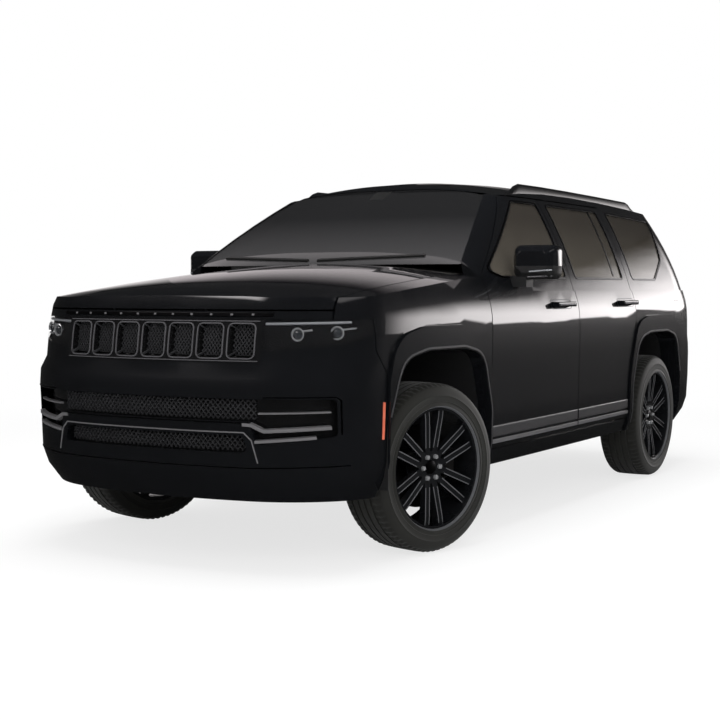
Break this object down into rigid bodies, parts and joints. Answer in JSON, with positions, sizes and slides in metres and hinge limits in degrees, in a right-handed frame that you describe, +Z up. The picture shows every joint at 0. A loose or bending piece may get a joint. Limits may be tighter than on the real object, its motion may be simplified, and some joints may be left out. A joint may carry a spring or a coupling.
{
  "type": "sport utility vehicle",
  "caption": "Full-size body-on-frame utility vehicle with side doors, hood, liftgate, steered front wheels and a hollow three-row cabin.",
  "frame": {"origin": "on the floor under the middle of the vehicle's box", "axes": "+X to the front of the vehicle, +Y to its left, +Z up"},
  "size_m": [5.24, 2.4, 1.9148],
  "materials": {
    "body_paint": "gloss black with a deep clear coat",
    "dark_cladding": "grained dark grey",
    "gloss_trim": "piano black",
    "side_glass": "privacy tint",
    "screen_glass": "clear with a light tint",
    "lamp_lens": "clear lens over a dark housing",
    "tail_lens": "red lens",
    "tyre": "matt black rubber",
    "rim_black": "gloss black",
    "frame_steel": "wax coated steel",
    "floor_coat": "coated sheet and carpet",
    "engine_metal": "cast",
    "dash_plastic": "soft touch black",
    "seat_leather": "black with stitched seams",
    "exhaust_steel": "dulled steel"
  },
  "bodies": {
    "body": {"chassis_frame": "frame_steel", "rear_frame": "frame_steel", "tow_hitch": "frame_steel", "tow_eye": "frame_steel", "floor_pan": "floor_coat", "wheel_liners": "dark_cladding", "body_sides": "body_paint", "roof_panel": "body_paint", "fenders": "body_paint", "front_bumper": "body_paint", "grille": "gloss_trim", "headlamps": "lamp_lens", "rear_bumper": "body_paint", "tail_lamps": "tail_lens", "windscreen": "screen_glass", "quarter_glass": "side_glass", "roof_rails": "gloss_trim", "engine_block": "engine_metal", "dashboard": "dash_plastic", "seat_cushions": "seat_leather", "seat_backs": "seat_leather", "front_suspension": "frame_steel", "rear_suspension": "frame_steel", "exhaust": "exhaust_steel", "fuel_tank": "dark_cladding"},
    "hood": {"hood": "body_paint"},
    "liftgate": {"liftgate": "body_paint", "rear_glass": "side_glass"},
    "door_front_left": {"door_front_left": "body_paint", "glass_front_left": "side_glass", "mirror_left": "body_paint"},
    "door_rear_left": {"door_rear_left": "body_paint", "glass_rear_left": "side_glass"},
    "steer_left": {"knuckle_front_left": "frame_steel"},
    "wheel_front_left": {"tyre_front_left": "tyre", "rim_front_left": "rim_black"},
    "wheel_rear_left": {"tyre_rear_left": "tyre", "rim_rear_left": "rim_black"},
    "door_front_right": {"door_front_right": "body_paint", "glass_front_right": "side_glass", "mirror_right": "body_paint"},
    "door_rear_right": {"door_rear_right": "body_paint", "glass_rear_right": "side_glass"},
    "steer_right": {"knuckle_front_right": "frame_steel"},
    "wheel_front_right": {"tyre_front_right": "tyre", "rim_front_right": "rim_black"},
    "wheel_rear_right": {"tyre_rear_right": "tyre", "rim_rear_right": "rim_black"}
  },
  "joints": [
    {"name": "door_front_left_hinge", "type": "hinge", "parent": "body", "child": "door_front_left", "pos_m": [1.07, 1.013, 0.8], "axis": [0, 0, -1], "range_deg": [0, 68]},
    {"name": "door_rear_left_hinge", "type": "hinge", "parent": "body", "child": "door_rear_left", "pos_m": [-0.11375, 1.013, 0.8], "axis": [0, 0, -1], "range_deg": [0, 68]},
    {"name": "door_front_right_hinge", "type": "hinge", "parent": "body", "child": "door_front_right", "pos_m": [1.07, -1.013, 0.8], "axis": [0, 0, 1], "range_deg": [0, 68]},
    {"name": "door_rear_right_hinge", "type": "hinge", "parent": "body", "child": "door_rear_right", "pos_m": [-0.11375, -1.013, 0.8], "axis": [0, 0, 1], "range_deg": [0, 68]},
    {"name": "hood_hinge", "type": "hinge", "parent": "body", "child": "hood", "pos_m": [1.205, 0, 1.396], "axis": [0, -1, 0], "range_deg": [0, 50]},
    {"name": "liftgate_hinge", "type": "hinge", "parent": "body", "child": "liftgate", "pos_m": [-2.30775, 0, 1.874], "axis": [0, 1, 0], "range_deg": [0, 80]},
    {"name": "steer_left", "type": "hinge", "parent": "body", "child": "steer_left", "pos_m": [1.59, 0.76, 0.406], "axis": [0, 0, 1], "range_deg": [-18.5, 49.5]},
    {"name": "steer_right", "type": "hinge", "parent": "body", "child": "steer_right", "pos_m": [1.59, -0.76, 0.406], "axis": [0, 0, 1], "range_deg": [-18.5, 49.5]},
    {"name": "wheel_front_left_spin", "type": "hinge", "parent": "steer_left", "child": "wheel_front_left", "pos_m": [1.61966, 0.86696, 0.406], "axis": [0.2672, 0.9636, 0], "continuous": true},
    {"name": "wheel_rear_left_spin", "type": "hinge", "parent": "body", "child": "wheel_rear_left", "pos_m": [-1.534, 0.871, 0.406], "axis": [0, 1, 0], "continuous": true},
    {"name": "wheel_front_right_spin", "type": "hinge", "parent": "steer_right", "child": "wheel_front_right", "pos_m": [1.56034, -0.86696, 0.406], "axis": [0.2672, 0.9636, 0], "continuous": true},
    {"name": "wheel_rear_right_spin", "type": "hinge", "parent": "body", "child": "wheel_rear_right", "pos_m": [-1.534, -0.871, 0.406], "axis": [0, 1, 0], "continuous": true}
  ],
  "couplings": [
    {"joint": "steer_right", "follows": "steer_left", "ratio": 1}
  ]
}
